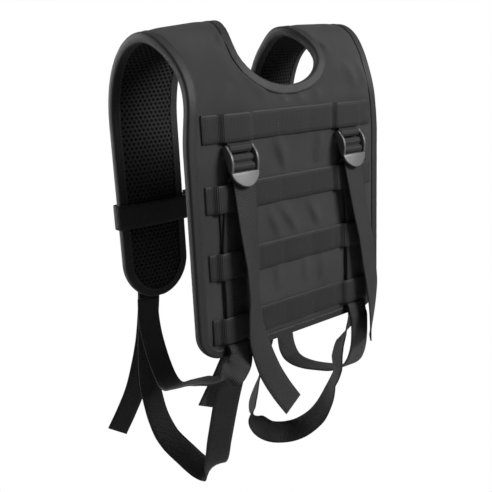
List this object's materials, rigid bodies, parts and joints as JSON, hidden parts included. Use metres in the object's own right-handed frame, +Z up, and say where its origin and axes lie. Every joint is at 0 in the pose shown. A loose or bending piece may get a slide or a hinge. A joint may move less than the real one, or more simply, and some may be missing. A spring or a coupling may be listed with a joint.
{
  "type": "padded harness vest",
  "caption": "Padded webbing yoke worn like a vest: mesh-lined back panel with webbing rows, shoulder pads, ladder-lock buckles, sternum strap and adjuster straps.",
  "frame": {"origin": "on the middle plane, where the undersides of the shoulder straps rest on top of the wearer's shoulders", "axes": "+Z up; +Y the way the wearer faces, from the back panel to the front pads; +X to the wearer's right, across the shoulders"},
  "size_m": [0.2785, 0.1741, 0.4846],
  "materials": {
    "pack_cloth": "matt black woven nylon pack cloth",
    "spacer_mesh": "black open spacer mesh with a diamond pattern",
    "foam": "soft closed-cell foam, hidden inside",
    "binding_tape": "black ribbed binding tape, folded and stitched",
    "webbing": "black 25 mm ribbed polyester webbing",
    "buckle_plastic": "black moulded acetal, satin, smooth edges"
  },
  "bodies": {
    "root": {"back_panel_mesh_lining": "spacer_mesh", "back_panel_foam": "foam", "back_panel_outer_fabric": "pack_cloth", "back_panel_edge_binding": "binding_tape", "neck_edge_binding": "binding_tape", "webbing_row_1": "webbing", "webbing_row_2": "webbing", "webbing_row_3": "webbing", "webbing_row_4": "webbing", "left_strap_mesh_lining": "spacer_mesh", "left_strap_foam": "foam", "left_strap_outer_fabric": "pack_cloth", "left_strap_edge_binding": "binding_tape", "left_back_anchor_loop": "webbing", "left_front_anchor_loop": "webbing", "left_load_strap": "webbing", "left_pass_strap": "webbing", "left_tail": "webbing", "left_pad_end_strap": "webbing", "left_side_strap": "webbing", "left_front_tail": "webbing", "right_strap_mesh_lining": "spacer_mesh", "right_strap_foam": "foam", "right_strap_outer_fabric": "pack_cloth", "right_strap_edge_binding": "binding_tape", "right_back_anchor_loop": "webbing", "right_front_anchor_loop": "webbing", "right_load_strap": "webbing", "right_pass_strap": "webbing", "right_tail": "webbing", "right_pad_end_strap": "webbing", "right_side_strap": "webbing", "right_front_tail": "webbing", "left_foot_end": "webbing"},
    "left_back_lock": {"left_back_ladder_lock": "buckle_plastic", "left_back_strap_turn": "webbing"},
    "right_back_lock": {"right_back_ladder_lock": "buckle_plastic", "right_back_strap_turn": "webbing"},
    "left_front_lock": {"left_front_ladder_lock": "buckle_plastic", "left_front_strap_turn": "webbing"},
    "right_front_lock": {"right_front_ladder_lock": "buckle_plastic", "right_front_strap_turn": "webbing"},
    "sternum_left": {"left_sternum_band": "webbing", "left_sternum_webbing": "webbing", "sternum_buckle_socket": "buckle_plastic"},
    "sternum_right": {"right_sternum_band": "webbing", "right_sternum_webbing": "webbing"},
    "sternum_plug": {"sternum_buckle_plug": "buckle_plastic"}
  },
  "joints": [
    {"name": "left_back_lock_tilt", "type": "hinge", "parent": "root", "child": "left_back_lock", "pos_m": [-0.07, -0.0659, -0.0974], "axis": [-1, 0, 0], "range_deg": [0, 60]},
    {"name": "right_back_lock_tilt", "type": "hinge", "parent": "root", "child": "right_back_lock", "pos_m": [0.07, -0.0659, -0.0974], "axis": [-1, 0, 0], "range_deg": [0, 60]},
    {"name": "left_front_lock_tilt", "type": "hinge", "parent": "root", "child": "left_front_lock", "pos_m": [-0.092, 0.0759, -0.2254], "axis": [1, 0, 0], "range_deg": [0, 60]},
    {"name": "right_front_lock_tilt", "type": "hinge", "parent": "root", "child": "right_front_lock", "pos_m": [0.092, 0.0759, -0.2254], "axis": [1, 0, 0], "range_deg": [0, 60]},
    {"name": "left_band_slide", "type": "slide", "parent": "root", "child": "sternum_left", "axis": [0, 0, 1], "range_m": [-0.014, 0.06]},
    {"name": "right_band_slide", "type": "slide", "parent": "root", "child": "sternum_right", "axis": [0, 0, 1], "range_m": [-0.014, 0.06]},
    {"name": "buckle_plug_slide", "type": "slide", "parent": "sternum_right", "child": "sternum_plug", "axis": [1, 0, 0], "range_m": [0, 0.02], "deforming": ["right_sternum_webbing"]}
  ],
  "couplings": [
    {"joint": "right_band_slide", "follows": "left_band_slide", "ratio": 1}
  ]
}
